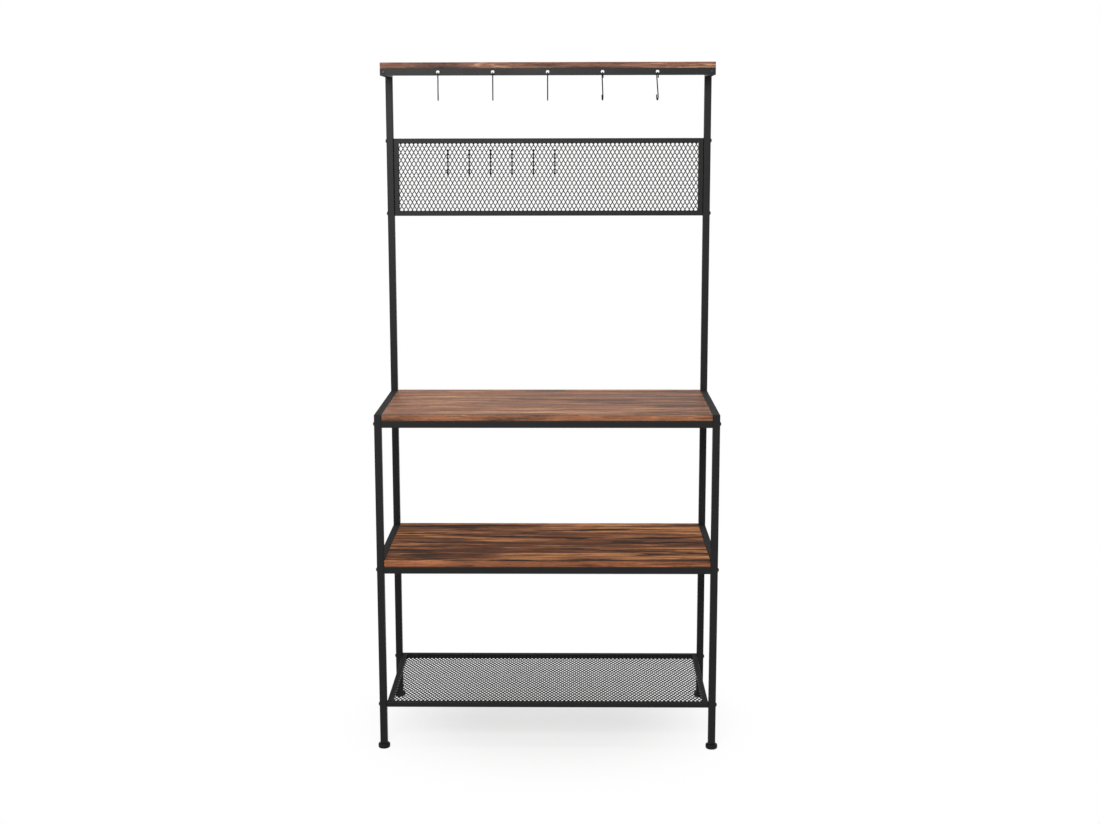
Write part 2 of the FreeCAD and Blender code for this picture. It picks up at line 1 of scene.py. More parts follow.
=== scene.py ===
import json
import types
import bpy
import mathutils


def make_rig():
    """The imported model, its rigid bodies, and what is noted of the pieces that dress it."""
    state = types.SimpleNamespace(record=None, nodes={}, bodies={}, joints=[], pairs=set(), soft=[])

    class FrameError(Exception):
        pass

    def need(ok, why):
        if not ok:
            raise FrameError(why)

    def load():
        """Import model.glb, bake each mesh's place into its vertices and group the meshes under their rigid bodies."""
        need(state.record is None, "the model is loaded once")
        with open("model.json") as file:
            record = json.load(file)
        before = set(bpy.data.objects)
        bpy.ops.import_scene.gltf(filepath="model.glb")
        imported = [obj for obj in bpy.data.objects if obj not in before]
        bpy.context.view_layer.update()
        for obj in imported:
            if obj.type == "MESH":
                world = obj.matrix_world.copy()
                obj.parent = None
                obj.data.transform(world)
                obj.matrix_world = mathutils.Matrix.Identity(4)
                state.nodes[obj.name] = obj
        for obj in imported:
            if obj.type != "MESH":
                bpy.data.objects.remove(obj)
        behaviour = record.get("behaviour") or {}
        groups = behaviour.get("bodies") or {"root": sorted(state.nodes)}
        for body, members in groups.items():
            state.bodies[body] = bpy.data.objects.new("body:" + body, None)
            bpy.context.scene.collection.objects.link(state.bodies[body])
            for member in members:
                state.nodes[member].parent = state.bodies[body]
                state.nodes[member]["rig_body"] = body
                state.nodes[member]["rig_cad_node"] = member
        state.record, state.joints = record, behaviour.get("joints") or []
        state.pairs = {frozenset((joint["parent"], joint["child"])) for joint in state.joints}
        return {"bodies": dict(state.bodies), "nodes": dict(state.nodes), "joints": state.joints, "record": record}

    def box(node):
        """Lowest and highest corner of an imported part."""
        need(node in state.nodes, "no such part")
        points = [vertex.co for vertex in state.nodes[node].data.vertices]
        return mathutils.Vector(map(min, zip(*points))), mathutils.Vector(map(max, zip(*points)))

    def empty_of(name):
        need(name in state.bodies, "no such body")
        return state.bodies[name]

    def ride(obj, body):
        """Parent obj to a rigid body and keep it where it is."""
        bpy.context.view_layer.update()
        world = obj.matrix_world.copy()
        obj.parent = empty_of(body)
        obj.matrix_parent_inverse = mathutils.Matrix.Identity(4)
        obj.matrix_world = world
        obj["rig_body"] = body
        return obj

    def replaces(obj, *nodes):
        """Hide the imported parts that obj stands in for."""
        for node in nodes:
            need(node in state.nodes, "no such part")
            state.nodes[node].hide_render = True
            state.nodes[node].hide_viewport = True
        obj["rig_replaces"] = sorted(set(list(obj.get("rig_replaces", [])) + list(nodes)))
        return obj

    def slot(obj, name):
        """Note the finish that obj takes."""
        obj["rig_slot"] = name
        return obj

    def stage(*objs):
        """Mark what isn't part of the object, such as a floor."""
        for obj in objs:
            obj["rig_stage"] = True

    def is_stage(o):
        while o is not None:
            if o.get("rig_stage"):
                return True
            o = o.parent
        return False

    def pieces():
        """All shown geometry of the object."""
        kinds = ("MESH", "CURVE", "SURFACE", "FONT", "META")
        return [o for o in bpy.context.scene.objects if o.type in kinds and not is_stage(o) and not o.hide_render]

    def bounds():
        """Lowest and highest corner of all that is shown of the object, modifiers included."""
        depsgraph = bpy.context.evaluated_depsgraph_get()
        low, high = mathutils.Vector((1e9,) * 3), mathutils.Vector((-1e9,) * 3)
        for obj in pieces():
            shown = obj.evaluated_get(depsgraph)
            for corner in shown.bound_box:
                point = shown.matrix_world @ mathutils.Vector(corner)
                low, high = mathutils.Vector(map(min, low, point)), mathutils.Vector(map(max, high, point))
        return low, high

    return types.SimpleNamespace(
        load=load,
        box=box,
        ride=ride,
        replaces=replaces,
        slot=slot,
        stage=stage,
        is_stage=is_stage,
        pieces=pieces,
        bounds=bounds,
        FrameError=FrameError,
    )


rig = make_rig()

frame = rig.load()
cad_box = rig.bounds()

import json
import math

import bmesh
import bpy
from bpy.props import FloatProperty, FloatVectorProperty, PointerProperty
from mathutils import Matrix, Vector

bl_info = {
    "name": "Bakers rack",
    "version": (1, 0, 0),
    "blender": (4, 5, 0),
    "location": "View3D > Sidebar > Rack",
    "description": "Dresses a tube-frame kitchen rack with mesh, wood boards, hooks and feet",
    "category": "Object",
}

MM = 0.001
QUARTER_TURN = math.pi / 2
WHITE = (1.0, 1.0, 1.0)
RACK = "rack"
SIDES = ("left", "right")
FEET = ("left_front", "left_rear", "right_front", "right_rear")

# Points of the sheets that lie closer than this are merged.
MERGE_DISTANCE = 0.05 * MM
# Edges beyond this share of a turned piece's height and radius are its upper rim, and faces in the
# rest of the height its lower end.
RIM_SHARE = 0.9
HEAD_SIDES = 32
THREAD_SIDES = 24
# Height of a thread's ridge against the thread's depth, and its width against the pitch.
RIDGE_HEIGHT_SHARE = 1.2
RIDGE_WIDTH_SHARE = 0.94
# Height and side of the three-cornered circle that the ridge is shaped from.
TRIANGLE_HEIGHT = 1.5
TRIANGLE_SIDE = math.sqrt(3)
# How far each screw was turned when it was driven in, in degrees.
FRONT_SCREW_TURNS = (18, 55)
JOINT_SCREW_TURNS = (11, 40, 69, 98)

FLOOR_SIZE = 40.0
# Distances from the rack's middle, in metres, between which its shadow on the floor fades to white.
SHADOW_NEAR = 0.15
SHADOW_FAR = 0.6
SENSOR_WIDTH = 36.0
# Points that the two lamps look at.
KEY_TARGET = (0.0, 0.0, 1.0)
TOP_TARGET = (0.0, 0.0, 0.0)


def linear(red, green, blue):
    """Linear colour of an 8-bit screen colour."""
    shares = [value / 255 for value in (red, green, blue)]
    return tuple(s / 12.92 if s <= 0.04045 else ((s + 0.055) / 1.055) ** 2.4 for s in shares)


def colour_property(name, description, screen_colour):
    """Colour that a user can change."""
    return FloatVectorProperty(
        name=name,
        description=description,
        subtype="COLOR",
        size=3,
        min=0.0,
        max=1.0,
        default=linear(*screen_colour),
    )


def length_property(name, description, millimetres):
    """Length that a user can change."""
    return FloatProperty(
        name=name,
        description=description,
        unit="LENGTH",
        min=0.0,
        default=millimetres * MM,
    )


def place_property(name, description, place):
    """Place in metres that a user can change."""
    return FloatVectorProperty(
        name=name,
        description=description,
        subtype="TRANSLATION",
        unit="LENGTH",
        size=3,
        default=place,
    )


def angle_property(name, description, degrees):
    """Angle that a user can change."""
    return FloatProperty(
        name=name,
        description=description,
        subtype="ANGLE",
        default=math.radians(degrees),
    )


def power_property(name, description, watts):
    """Power of a lamp that a user can change."""
    return FloatProperty(name=name, description=description, unit="POWER", min=0.0, default=watts)


class RackSizes(bpy.types.PropertyGroup):
    """Sizes of the expanded metal, the screws and the threads."""

    panel_cell_width: length_property("Panel cell width", "Short way of a panel cell, along X", 11.25)
    panel_cell_height: length_property("Panel cell height", "Long way of a panel cell, along Z", 20.0)
    shelf_cell_width: length_property("Shelf cell width", "Short way of a shelf cell, along X", 10.6)
    shelf_cell_depth: length_property("Shelf cell depth", "Long way of a shelf cell, along Y", 19.0)
    strand: length_property("Strand", "Width of a strand between two gaps", 1.8)
    bond: length_property("Bond", "Extra length of metal at the pointed ends of a gap", 1.3)
    sheet: length_property("Sheet", "Thickness of the sheet", 1.2)
    twist: length_property("Twist", "How far the two sides of a gap stand out of the sheet", 0.15)
    hook_seat: length_property("Hook seat", "Bottom of the hooks' gaps under the hooks' pivots", 3.67)
    screw_head: length_property("Screw head", "Diameter of a screw's pan head", 8.0)
    screw_head_height: length_property("Screw head height", "Height of a screw's pan head", 2.2)
    screw_dome: length_property("Screw dome", "Rounding of a screw's pan head", 1.21)
    screw_shank: length_property("Screw shank", "Diameter of a screw's shank", 4.0)
    slot_length: length_property("Cross length", "Length of the cross slot in a screw", 4.48)
    slot_width: length_property("Cross slot", "Width of the cross slot in a screw", 1.1)
    slot_depth: length_property("Cross depth", "Depth of the cross slot in a screw", 1.1)
    thread_pitch: length_property("Thread pitch", "Rise of one turn of a foot's thread", 1.25)
    thread_depth: length_property("Thread depth", "Depth of a foot's thread", 0.7)


class RackFinishes(bpy.types.PropertyGroup):
    """Colours of the rack's finishes."""

    paint: colour_property("Paint", "Powder coat of the tubes and the mesh", (23, 22, 22))
    wire: colour_property("Hook wire", "Coat of the hooks", (14, 14, 14))
    bolt: colour_property("Bolts", "Black finish of the bolts and screws", (28, 28, 29))
    zinc: colour_property("Zinc", "Plating of the studs and plugs", (176, 178, 180))
    plastic: colour_property("Feet", "Moulded plastic of the feet", (16, 16, 16))
    wood_light: colour_property("Light wood", "Lightest bands of the boards", (214, 156, 107))
    wood_middle: colour_property("Middle wood", "Main colour of the boards", (156, 101, 71))
    wood_dark: colour_property("Dark wood", "Darker bands of the boards", (88, 58, 44))
    # Colour of the streaks of smoke and of the pores, which also paints shade on the middle board.
    wood_smoke_and_shade: colour_property("Smoky wood", "Smoky streaks of the boards", (40, 31, 28))
    # Cooler, greyer tint of the worktop, partly its own colour and partly a painted sheen.
    worktop_tone_and_sheen: colour_property("Worktop tint", "Tint of the worktop", (244, 251, 255))
    # Darker, warmer tint of the middle board's edges, which is painted shade.
    middle_edge_shade: colour_property("Middle edge tint", "Tint of the middle board's edges", (246, 238, 231))
    face_tint: colour_property("Middle face tint", "Tint of the middle board's faces", (255, 250, 240))
    top_tint: colour_property("Top tint", "Tint of the top board", (206, 216, 240))


class RackStage(bpy.types.PropertyGroup):
    """Camera, lamps and floor."""

    camera_place: place_property("Camera", "Place of the camera", (0.0583, -3.9788, 1.53))
    pitch: angle_property("Pitch", "How far the camera looks down", 9.34)
    yaw: angle_property("Yaw", "How far the camera looks to the left", 0.763)
    roll: angle_property("Roll", "How far the camera leans", -0.115)
    lens: FloatProperty(
        name="Lens",
        description="Focal length in millimetres on a sensor 36 mm wide",
        unit="CAMERA",
        default=51.293,
    )
    shift: FloatProperty(
        name="Shift",
        description="Vertical shift of the lens as a share of the picture's width",
        subtype="FACTOR",
        min=-1.0,
        max=1.0,
        default=-0.01455,
    )
    floor: colour_property("Floor", "Colour of the floor", (247, 247, 247))
    shadow: FloatProperty(
        name="Shadow",
        description="Share of the floor's shading that is seen under the rack",
        subtype="FACTOR",
        min=0.0,
        max=1.0,
        default=0.34,
    )
    key_place: place_property("Key lamp", "Place of the high front lamp", (-0.5, -2.7, 2.1))
    key_size: length_property("Key lamp size", "Diameter of the high front lamp", 1400.0)
    key_power: power_property("Key power", "Power of the high front lamp", 80.0)
    top_place: place_property("Top lamp", "Place of the overhead lamp", (0.3, 0.2, 3.4))
    top_size: length_property("Top lamp size", "Diameter of the overhead lamp", 2400.0)
    top_power: power_property("Top power", "Power of the overhead lamp", 42.0)
    sky: FloatProperty(
        name="Sky",
        description="Strength of the light from all round",
        subtype="FACTOR",
        min=0.0,
        max=1.0,
        default=0.36,
    )


class Value:
    """Output of a shader node that adds Math nodes when it is used in an expression."""

    def __init__(self, finish, socket):
        self.finish = finish
        self.socket = socket

    def __add__(self, other):
        return self.finish.maths("ADD", self, other)

    def __radd__(self, other):
        return self.finish.maths("ADD", other, self)

    def __sub__(self, other):
        return self.finish.maths("SUBTRACT", self, other)

    def __rsub__(self, other):
        return self.finish.maths("SUBTRACT", other, self)

    def __mul__(self, other):
        return self.finish.maths("MULTIPLY", self, other)

    def __rmul__(self, other):
        return self.finish.maths("MULTIPLY", other, self)

    def __abs__(self):
        return self.finish.maths("ABSOLUTE", self)

    def sine(self):
        """Sine of the value."""
        return self.finish.maths("SINE", self)

    def above(self, low, high):
        """0 under low, 1 over high, and a smooth rise between them."""
        inputs = {"Value": self, "From Min": low, "From Max": high}
        return self.finish.node("ShaderNodeMapRange", {"interpolation_type": "SMOOTHSTEP"}, inputs)


class Finish:
    """Material or world that is being made from shader nodes."""

    def __init__(self, owner):
        owner.use_nodes = True
        self.owner = owner
        self.tree = owner.node_tree
        self.tree.nodes.clear()

    def node(self, kind, settings=None, inputs=None, output=0):
        """Adds a node, sets it up, feeds its sockets and gives one of its outputs."""
        made = self.tree.nodes.new(kind)
        for name, setting in (settings or {}).items():
            if name == "stops":
                self.set_stops(made.color_ramp, setting)
            else:
                setattr(made, name, setting)
        for name, value in (inputs or {}).items():
            socket = made.inputs[name]
            if isinstance(value, Value):
                self.tree.links.new(value.socket, socket)
            elif socket.type == "RGBA":
                socket.default_value = (*value, 1.0)
            else:
                socket.default_value = value
        return Value(self, made.outputs[output]) if made.outputs else made

    @staticmethod
    def set_stops(ramp, stops):
        """Gives a colour ramp its stops."""
        while len(ramp.elements) < len(stops):
            ramp.elements.new(1.0)
        for element, (place, colour) in zip(ramp.elements, stops):
            element.position = place
            element.color = (*colour, 1.0)

    def maths(self, operation, *values):
        """Result of a Math node."""
        return self.node("ShaderNodeMath", {"operation": operation}, dict(enumerate(values)))

    def coordinates(self, kind="Object"):
        """Object coordinates, or the normal."""
        return self.node("ShaderNodeTexCoord", output=kind)

    def place(self, scale, offset=(0.0, 0.0, 0.0), start=None):
        """Object coordinates, or another place to start from, stretched and moved."""
        inputs = {"Vector": start or self.coordinates(), "Scale": scale, "Location": offset}
        return self.node("ShaderNodeMapping", None, inputs)

    def height(self):
        """Height above the floor."""
        return self.node("ShaderNodeSeparateXYZ", None, {0: self.coordinates()}, output="Z")

    def lying(self, low, high):
        """1 on faces that lie flat and 0 on upright ones."""
        normal = self.coordinates("Normal")
        upwards = self.node("ShaderNodeSeparateXYZ", None, {0: normal}, output="Z")
        return abs(upwards).above(low, high)

    def noise(self, vector, scale=1.0, detail=2.0, roughness=0.5, distortion=0.0):
        """Soft noise between 0 and 1."""
        inputs = {
            "Vector": vector,
            "Scale": scale,
            "Detail": detail,
            "Roughness": roughness,
            "Distortion": distortion,
        }
        return self.node("ShaderNodeTexNoise", {"noise_dimensions": "3D"}, inputs)

    def mixed(self, share, first, second, blend="MIX"):
        """Two colours mixed by a share."""
        settings = {"data_type": "RGBA", "blend_type": blend}
        return self.node("ShaderNodeMix", settings, {0: share, 6: first, 7: second}, output=2)

    def bump(self, height, distance, strength):
        """Normal of a surface with a fine relief."""
        inputs = {"Height": height, "Distance": distance, "Strength": strength}
        return self.node("ShaderNodeBump", None, inputs)

    def surface(self, inputs):
        """Principled surface as the material's output."""
        shader = self.node("ShaderNodeBsdfPrincipled", None, inputs)
        self.node("ShaderNodeOutputMaterial", None, {"Surface": shader})
        return self.owner


def scaled(colour, factor):
    """Colour made lighter or darker."""
    return tuple(min(1.0, channel * factor) for channel in colour)


def coated_metal(name, colour, roughness, specular):
    """Powder coat with a fine orange-peel relief and faint clouding, duller on faces that lie flat."""
    finish = Finish(bpy.data.materials.new(name))
    clouds = finish.noise(finish.coordinates(), scale=7.0, detail=4.0, roughness=0.6)
    speckle = finish.noise(finish.coordinates(), scale=1400.0, detail=2.0, roughness=0.7)
    peel = finish.noise(finish.coordinates(), scale=420.0, detail=3.0, roughness=0.55)
    tone = clouds * 0.6 + speckle * 0.4
    dulled = finish.lying(0.7, 0.9) * 0.3
    uneven = (clouds - 0.5) * 0.16 + (speckle - 0.5) * 0.1
    return finish.surface(
        {
            "Base Color": finish.mixed(tone, scaled(colour, 0.72), scaled(colour, 1.3)),
            "Roughness": roughness + dulled + uneven,
            "Specular IOR Level": specular,
            "Normal": finish.bump(peel + speckle * 0.4, distance=0.25 * MM, strength=0.55),
        }
    )


def plated_steel(name, colour):
    """Zinc plating with fine turning marks and a faint bloom."""
    finish = Finish(bpy.data.materials.new(name))
    bloom = finish.noise(finish.coordinates(), scale=90.0, detail=4.0, roughness=0.6)
    marks = finish.noise(finish.place((120.0, 120.0, 2600.0)), detail=2.0, roughness=0.6)
    return finish.surface(
        {
            "Base Color": finish.mixed(bloom, scaled(colour, 0.8), scaled(colour, 1.1)),
            "Metallic": 1.0,
            "Roughness": 0.3 + bloom * 0.15 + marks * 0.1,
            "Normal": finish.bump(marks, distance=0.1 * MM, strength=0.4),
        }
    )


def moulded_plastic(name, colour):
    """Moulded plastic with a fine spark-eroded grain and faint scuffs."""
    finish = Finish(bpy.data.materials.new(name))
    grain = finish.noise(finish.coordinates(), scale=1100.0, detail=3.0, roughness=0.65)
    scratches = finish.noise(finish.place((60.0, 60.0, 240.0)), detail=4.0, roughness=0.6)
    scuffs = scratches.above(0.55, 0.8)
    return finish.surface(
        {
            "Base Color": finish.mixed(scuffs * 0.5, colour, scaled(colour, 1.9)),
            "Roughness": 0.48 + (grain - 0.5) * 0.2 + scuffs * 0.1,
            "Specular IOR Level": 0.12,
            "Normal": finish.bump(grain, distance=0.15 * MM, strength=0.5),
        }
    )


def swaying_grain(finish):
    """Object coordinates that sway a little across the grain."""
    sway = finish.noise(finish.place((2.2, 5.0, 5.0)), detail=2.0, roughness=0.5) - 0.5
    across = finish.node("ShaderNodeCombineXYZ", None, {"Y": sway * 0.035})
    inputs = {0: finish.coordinates(), 1: across}
    return finish.node("ShaderNodeVectorMath", {"operation": "ADD"}, inputs)


def wood_tone(bands, fine_bands, contrast):
    """Lightness of the grain, from wide and fine bands with growth lines in them."""
    growth = 0.5 + 0.5 * (bands * 95.0 + fine_bands * 14.0).sine()
    tone = bands * 0.55 + fine_bands * 0.45 + (growth - 0.5) * 0.035
    return 0.5 + (tone - 0.5) * contrast


def wood_knots(finish, fine_bands):
    """Ringed knots, scattered over about a third of the cells of a grid."""
    cells = {"Vector": finish.place((3.4, 10.0, 0.0)), "Scale": 1.0, "Randomness": 0.9}
    distance = finish.node("ShaderNodeTexVoronoi", None, cells, output="Distance")
    draw = finish.node("ShaderNodeTexVoronoi", None, cells, output="Color")
    chosen = finish.node("ShaderNodeSeparateColor", None, {0: draw}, output="Red").above(0.66, 0.68)
    rings = 0.7 + 0.3 * (distance * 230.0 + fine_bands * 9.0).sine()
    inside = 1.0 - (distance + (fine_bands - 0.5) * 0.09).above(0.02, 0.085)
    return inside * chosen * rings


def halfway(lower, upper):
    """Height half-way between two boards."""
    return (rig.box(lower)[1].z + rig.box(upper)[0].z) / 2


def rustic_wood(name, colours):
    """Rustic brown wood grain along X with lighter bands, streaks of smoke, knots, fibres and pores, and painted shade
    on the middle board.
    """
    finish = Finish(bpy.data.materials.new(name))
    grain = swaying_grain(finish)

    def streaks(along, across, offset, **settings):
        """Noise that is drawn out along the grain."""
        return finish.noise(finish.place((along, across, across), offset, grain), **settings)

    bands = streaks(2.4, 27.0, (0.0, 0.0, 0.0), detail=5.0, roughness=0.6, distortion=0.5)
    fine_bands = streaks(5.5, 85.0, (3.1, 0.7, 1.9), detail=4.0, roughness=0.65, distortion=0.4)
    smoke = streaks(3.0, 36.0, (7.3, 2.1, 5.2), detail=5.0, roughness=0.62, distortion=0.6)
    lines = streaks(8.0, 210.0, (5.9, 1.6, 3.3), detail=3.0, roughness=0.6, distortion=0.3)
    fibres = streaks(14.0, 620.0, (1.3, 4.2, 0.4), detail=3.0, roughness=0.65).above(0.36, 0.64)
    pores = streaks(45.0, 1100.0, (0.4, 9.2, 2.4), detail=2.0, roughness=0.5).above(0.6, 0.66)

    # Masks of the boards' faces, of the middle board and of the top board.
    flat = finish.lying(0.4, 0.8)
    height = finish.height()
    middle = finish.maths("LESS_THAN", height, halfway("middle_board", "worktop_board"))
    top = finish.maths("GREATER_THAN", height, halfway("worktop_board", "top_board"))

    # The grain is strongest on the middle board's faces and calmest on its edges.
    contrast = 0.85 + top * 0.5 + middle * (flat * 0.95 - 0.3)
    stops = [
        (0.38, colours.wood_dark),
        (0.46, scaled(colours.wood_middle, 0.74)),
        (0.53, colours.wood_middle),
        (0.62, colours.wood_light),
    ]
    tone = wood_tone(bands, fine_bands, contrast)
    base = finish.node("ShaderNodeValToRGB", {"stops": stops}, {"Fac": tone})

    # Streaks of smoke, faint on the edges, with more of them on the middle board as painted shade under the worktop,
    # then dark dashes and knots over them.
    smoke_and_shade = smoke.above(0.49, 0.6) * (0.38 + middle * 0.28 + fine_bands.above(0.35, 0.6) * 0.38)
    smoke_and_shade = smoke_and_shade * (0.22 + flat * 0.78)
    base = finish.mixed(smoke_and_shade, base, tuple(colours.wood_smoke_and_shade))
    dashes = lines.above(0.55, 0.61) * (0.25 + 0.5 * smoke.above(0.4, 0.6))
    base = finish.mixed(dashes, base, scaled(colours.wood_dark, 0.6))
    knots = wood_knots(finish, fine_bands) * flat * 0.8
    base = finish.mixed(knots, base, scaled(colours.wood_dark, 0.35))

    # Fibres lighten and darken the colour, and pores are dark flecks.
    shade = 0.84 + fibres * 0.3
    grey = finish.node("ShaderNodeCombineColor", None, {"Red": shade, "Green": shade, "Blue": shade})
    base = finish.mixed(1.0, base, grey, "MULTIPLY")
    base = finish.mixed(pores * 0.55, base, scaled(colours.wood_smoke_and_shade, 0.8))

    # Each board is tinted by its height. The worktop's cooler, greyer tint is partly its own colour and partly a
    # painted sheen. The middle board's darker, warmer edges are painted shade, and its faces are warmer. The top board
    # is darker and bluer.
    tint = finish.mixed(flat, colours.middle_edge_shade, colours.face_tint)
    tint = finish.mixed(middle, colours.worktop_tone_and_sheen, tint)
    tint = finish.mixed(top, tint, colours.top_tint)
    base = finish.mixed(1.0, base, tint, "MULTIPLY")

    uneven = (fibres - 0.5) * 0.16 + smoke_and_shade * 0.06 + pores * 0.15
    relief = fibres * 0.6 + lines * 0.5 - pores * 0.5
    return finish.surface(
        {
            "Base Color": base,
            "Roughness": 0.49 + middle * 0.26 + uneven,
            "Specular IOR Level": 0.1,
            "Normal": finish.bump(relief, distance=0.2 * MM, strength=0.5),
        }
    )


def material_for(slot):
    """Material of one of the record's slots, made when it is first asked for."""
    name = "rack_" + slot
    if name in bpy.data.materials:
        return bpy.data.materials[name]
    colours = bpy.context.scene.rack_finishes
    if slot == "frame_metal":
        return coated_metal(name, colours.paint, roughness=0.46, specular=0.14)
    if slot == "mesh_metal":
        return coated_metal(name, colours.paint, roughness=0.5, specular=0.1)
    if slot == "hook_wire":
        return coated_metal(name, colours.wire, roughness=0.42, specular=0.1)
    if slot == "bolt_metal":
        return coated_metal(name, colours.bolt, roughness=0.4, specular=0.25)
    if slot == "zinc_steel":
        return plated_steel(name, colours.zinc)
    if slot == "foot_plastic":
        return moulded_plastic(name, colours.plastic)
    if slot == "wood_board":
        return rustic_wood(name, colours)
    raise ValueError("no finish for slot " + slot)


def give_finish(piece, slot):
    """Puts a slot's material on the whole of a piece."""
    piece.data.materials.clear()
    piece.data.materials.append(material_for(slot))


def finish_nodes(slots):
    """Puts the record's finishes on the model's own nodes."""
    for part in frame["record"]["subparts"]:
        if part["material_slot"] in slots:
            give_finish(frame["nodes"][part["node"]], part["material_slot"])


def deselect():
    """Leaves nothing selected."""
    bpy.ops.object.select_all(action="DESELECT")


def only(piece):
    """Makes one piece the only selected and active one."""
    deselect()
    piece.select_set(True)
    bpy.context.view_layer.objects.active = piece


def named(piece, name):
    """Names a piece and its mesh."""
    piece.name = name
    piece.data.name = name
    return piece


def opened(piece):
    """Opens a piece in edit mode with everything selected."""
    only(piece)
    bpy.ops.object.mode_set(mode="EDIT")
    bpy.ops.mesh.select_all(action="SELECT")
    return piece


def closed(piece):
    """Leaves edit mode."""
    bpy.ops.object.mode_set(mode="OBJECT")
    return piece


def started(name):
    """Names the primitive that was just added and opens it in edit mode."""
    return opened(named(bpy.context.object, name))


def turned_outwards():
    """Points all faces outwards in edit mode."""
    bpy.ops.mesh.select_all(action="SELECT")
    bpy.ops.mesh.normals_make_consistent(inside=False)


def select_where(piece, kind, test):
    """Selects the vertices, edges or faces in edit mode whose middle passes the test."""
    bpy.ops.mesh.select_mode(type=kind)
    bpy.ops.mesh.select_all(action="DESELECT")
    shape = bmesh.from_edit_mesh(piece.data)
    if kind == "VERT":
        chosen = [v for v in shape.verts if test(v.co)]
    elif kind == "EDGE":
        chosen = [e for e in shape.edges if test((e.verts[0].co + e.verts[1].co) / 2)]
    else:
        chosen = [f for f in shape.faces if test(f.calc_center_median())]
    for element in chosen:
        element.select_set(True)
    shape.select_flush_mode()
    bmesh.update_edit_mesh(piece.data)
    if not chosen:
        raise RuntimeError("nothing to select on " + piece.name)


def select_upper_rim(piece, top, radius):
    """Selects the edges round the upper end of a turned piece on Z."""
    select_where(
        piece,
        "EDGE",
        lambda m: m.z > top * RIM_SHARE and math.hypot(m.x, m.y) > radius * RIM_SHARE,
    )


def applied(piece, kind, **settings):
    """Adds a modifier and applies it."""
    only(piece)
    modifier = piece.modifiers.new(kind.lower(), kind)
    for name, value in settings.items():
        setattr(modifier, name, value)
    bpy.ops.object.modifier_apply(modifier=modifier.name)


def combined(piece, operation, other):
    """Cuts another piece out of a piece or unites them, and removes the other one."""
    applied(piece, "BOOLEAN", operation=operation, object=other, solver="EXACT")
    bpy.data.objects.remove(other)


def repeated(piece, count, step):
    """Row of copies of a piece in its own mesh."""
    applied(
        piece,
        "ARRAY",
        count=count,
        use_relative_offset=False,
        use_constant_offset=True,
        constant_offset_displace=step,
    )


def settled(piece, matrix):
    """Moves a piece to its place and puts that place into its mesh."""
    only(piece)
    piece.matrix_world = matrix
    bpy.ops.object.transform_apply(location=True, rotation=True, scale=True)
    return piece


def copy_of(piece, name):
    """Copy of a piece with its own mesh."""
    only(piece)
    bpy.ops.object.duplicate(linked=False)
    return named(bpy.context.object, name)


def joined(pieces, name):
    """Pieces joined into one."""
    deselect()
    for piece in pieces:
        piece.select_set(True)
    bpy.context.view_layer.objects.active = pieces[0]
    bpy.ops.object.join()
    return named(bpy.context.object, name)


def smoothed(piece, degrees):
    """Shades a piece smooth except over edges sharper than the angle."""
    only(piece)
    bpy.ops.object.shade_smooth_by_angle(angle=math.radians(degrees))
    return piece


def handed_over(piece, body, slot, node):
    """Finishes a piece, lets it ride on its body and puts it in the place of its node."""
    give_finish(piece, slot)
    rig.ride(piece, body)
    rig.slot(piece, slot)
    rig.replaces(piece, node)


def middle_of(node):
    """Middle of a node's box."""
    low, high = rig.box(node)
    return (low + high) / 2


def mesh_cell(name, width, length):
    """Ring of metal round one gap, with the gap's two sides twisted out of the XY plane."""
    sizes = bpy.context.scene.rack_sizes
    deselect()
    bpy.ops.mesh.primitive_circle_add(vertices=4, radius=1.0, fill_type="NGON")
    cell = started(name)
    bpy.ops.transform.resize(value=(width / 2, length / 2, 1.0))
    bpy.ops.mesh.select_mode(type="FACE")
    bpy.ops.mesh.inset(thickness=sizes.strand / 2, use_boundary=True)
    bpy.ops.transform.resize(value=(1.0, 1.0 - 2 * sizes.bond / length, 1.0))
    bpy.ops.mesh.delete(type="ONLY_FACE")
    beside = length / 50
    innermost = (width / 2 - sizes.strand) / 2
    outermost = width / 2 - sizes.strand / 4
    for side in (-1, 1):
        select_where(cell, "VERT", lambda v: abs(v.y) < beside and innermost < v.x * side < outermost)
        bpy.ops.transform.translate(value=(0.0, 0.0, side * sizes.twist))
    return closed(cell)


def expanded_metal(name, cell_size, low, high, gap):
    """Sheet in the XY plane from low to high, with rows of gaps, one of them centred on gap."""
    width, length = cell_size
    columns = math.ceil((high[0] - low[0]) / width) + 2
    rows = math.ceil((high[1] - low[1]) / length) + 2
    start = (
        gap[0] - math.ceil((gap[0] - low[0]) / width + 0.5) * width,
        gap[1] - math.ceil((gap[1] - low[1]) / length + 0.5) * length,
        0.0,
    )
    sheet = mesh_cell(name, width, length)
    repeated(sheet, columns, (width, 0.0, 0.0))
    repeated(sheet, 2, (width / 2, length / 2, 0.0))
    repeated(sheet, rows, (0.0, length, 0.0))
    opened(settled(sheet, Matrix.Translation(start)))
    bpy.ops.mesh.remove_doubles(threshold=MERGE_DISTANCE)
    trims = (
        ((low[0], 0.0, 0.0), (-1.0, 0.0, 0.0)),
        ((high[0], 0.0, 0.0), (1.0, 0.0, 0.0)),
        ((0.0, low[1], 0.0), (0.0, -1.0, 0.0)),
        ((0.0, high[1], 0.0), (0.0, 1.0, 0.0)),
    )
    for point, outwards in trims:
        bpy.ops.mesh.select_all(action="SELECT")
        bpy.ops.mesh.bisect(plane_co=point, plane_no=outwards, clear_outer=True)
    turned_outwards()
    closed(sheet)
    applied(sheet, "SOLIDIFY", thickness=bpy.context.scene.rack_sizes.sheet, offset=0.0)
    return smoothed(sheet, 20)


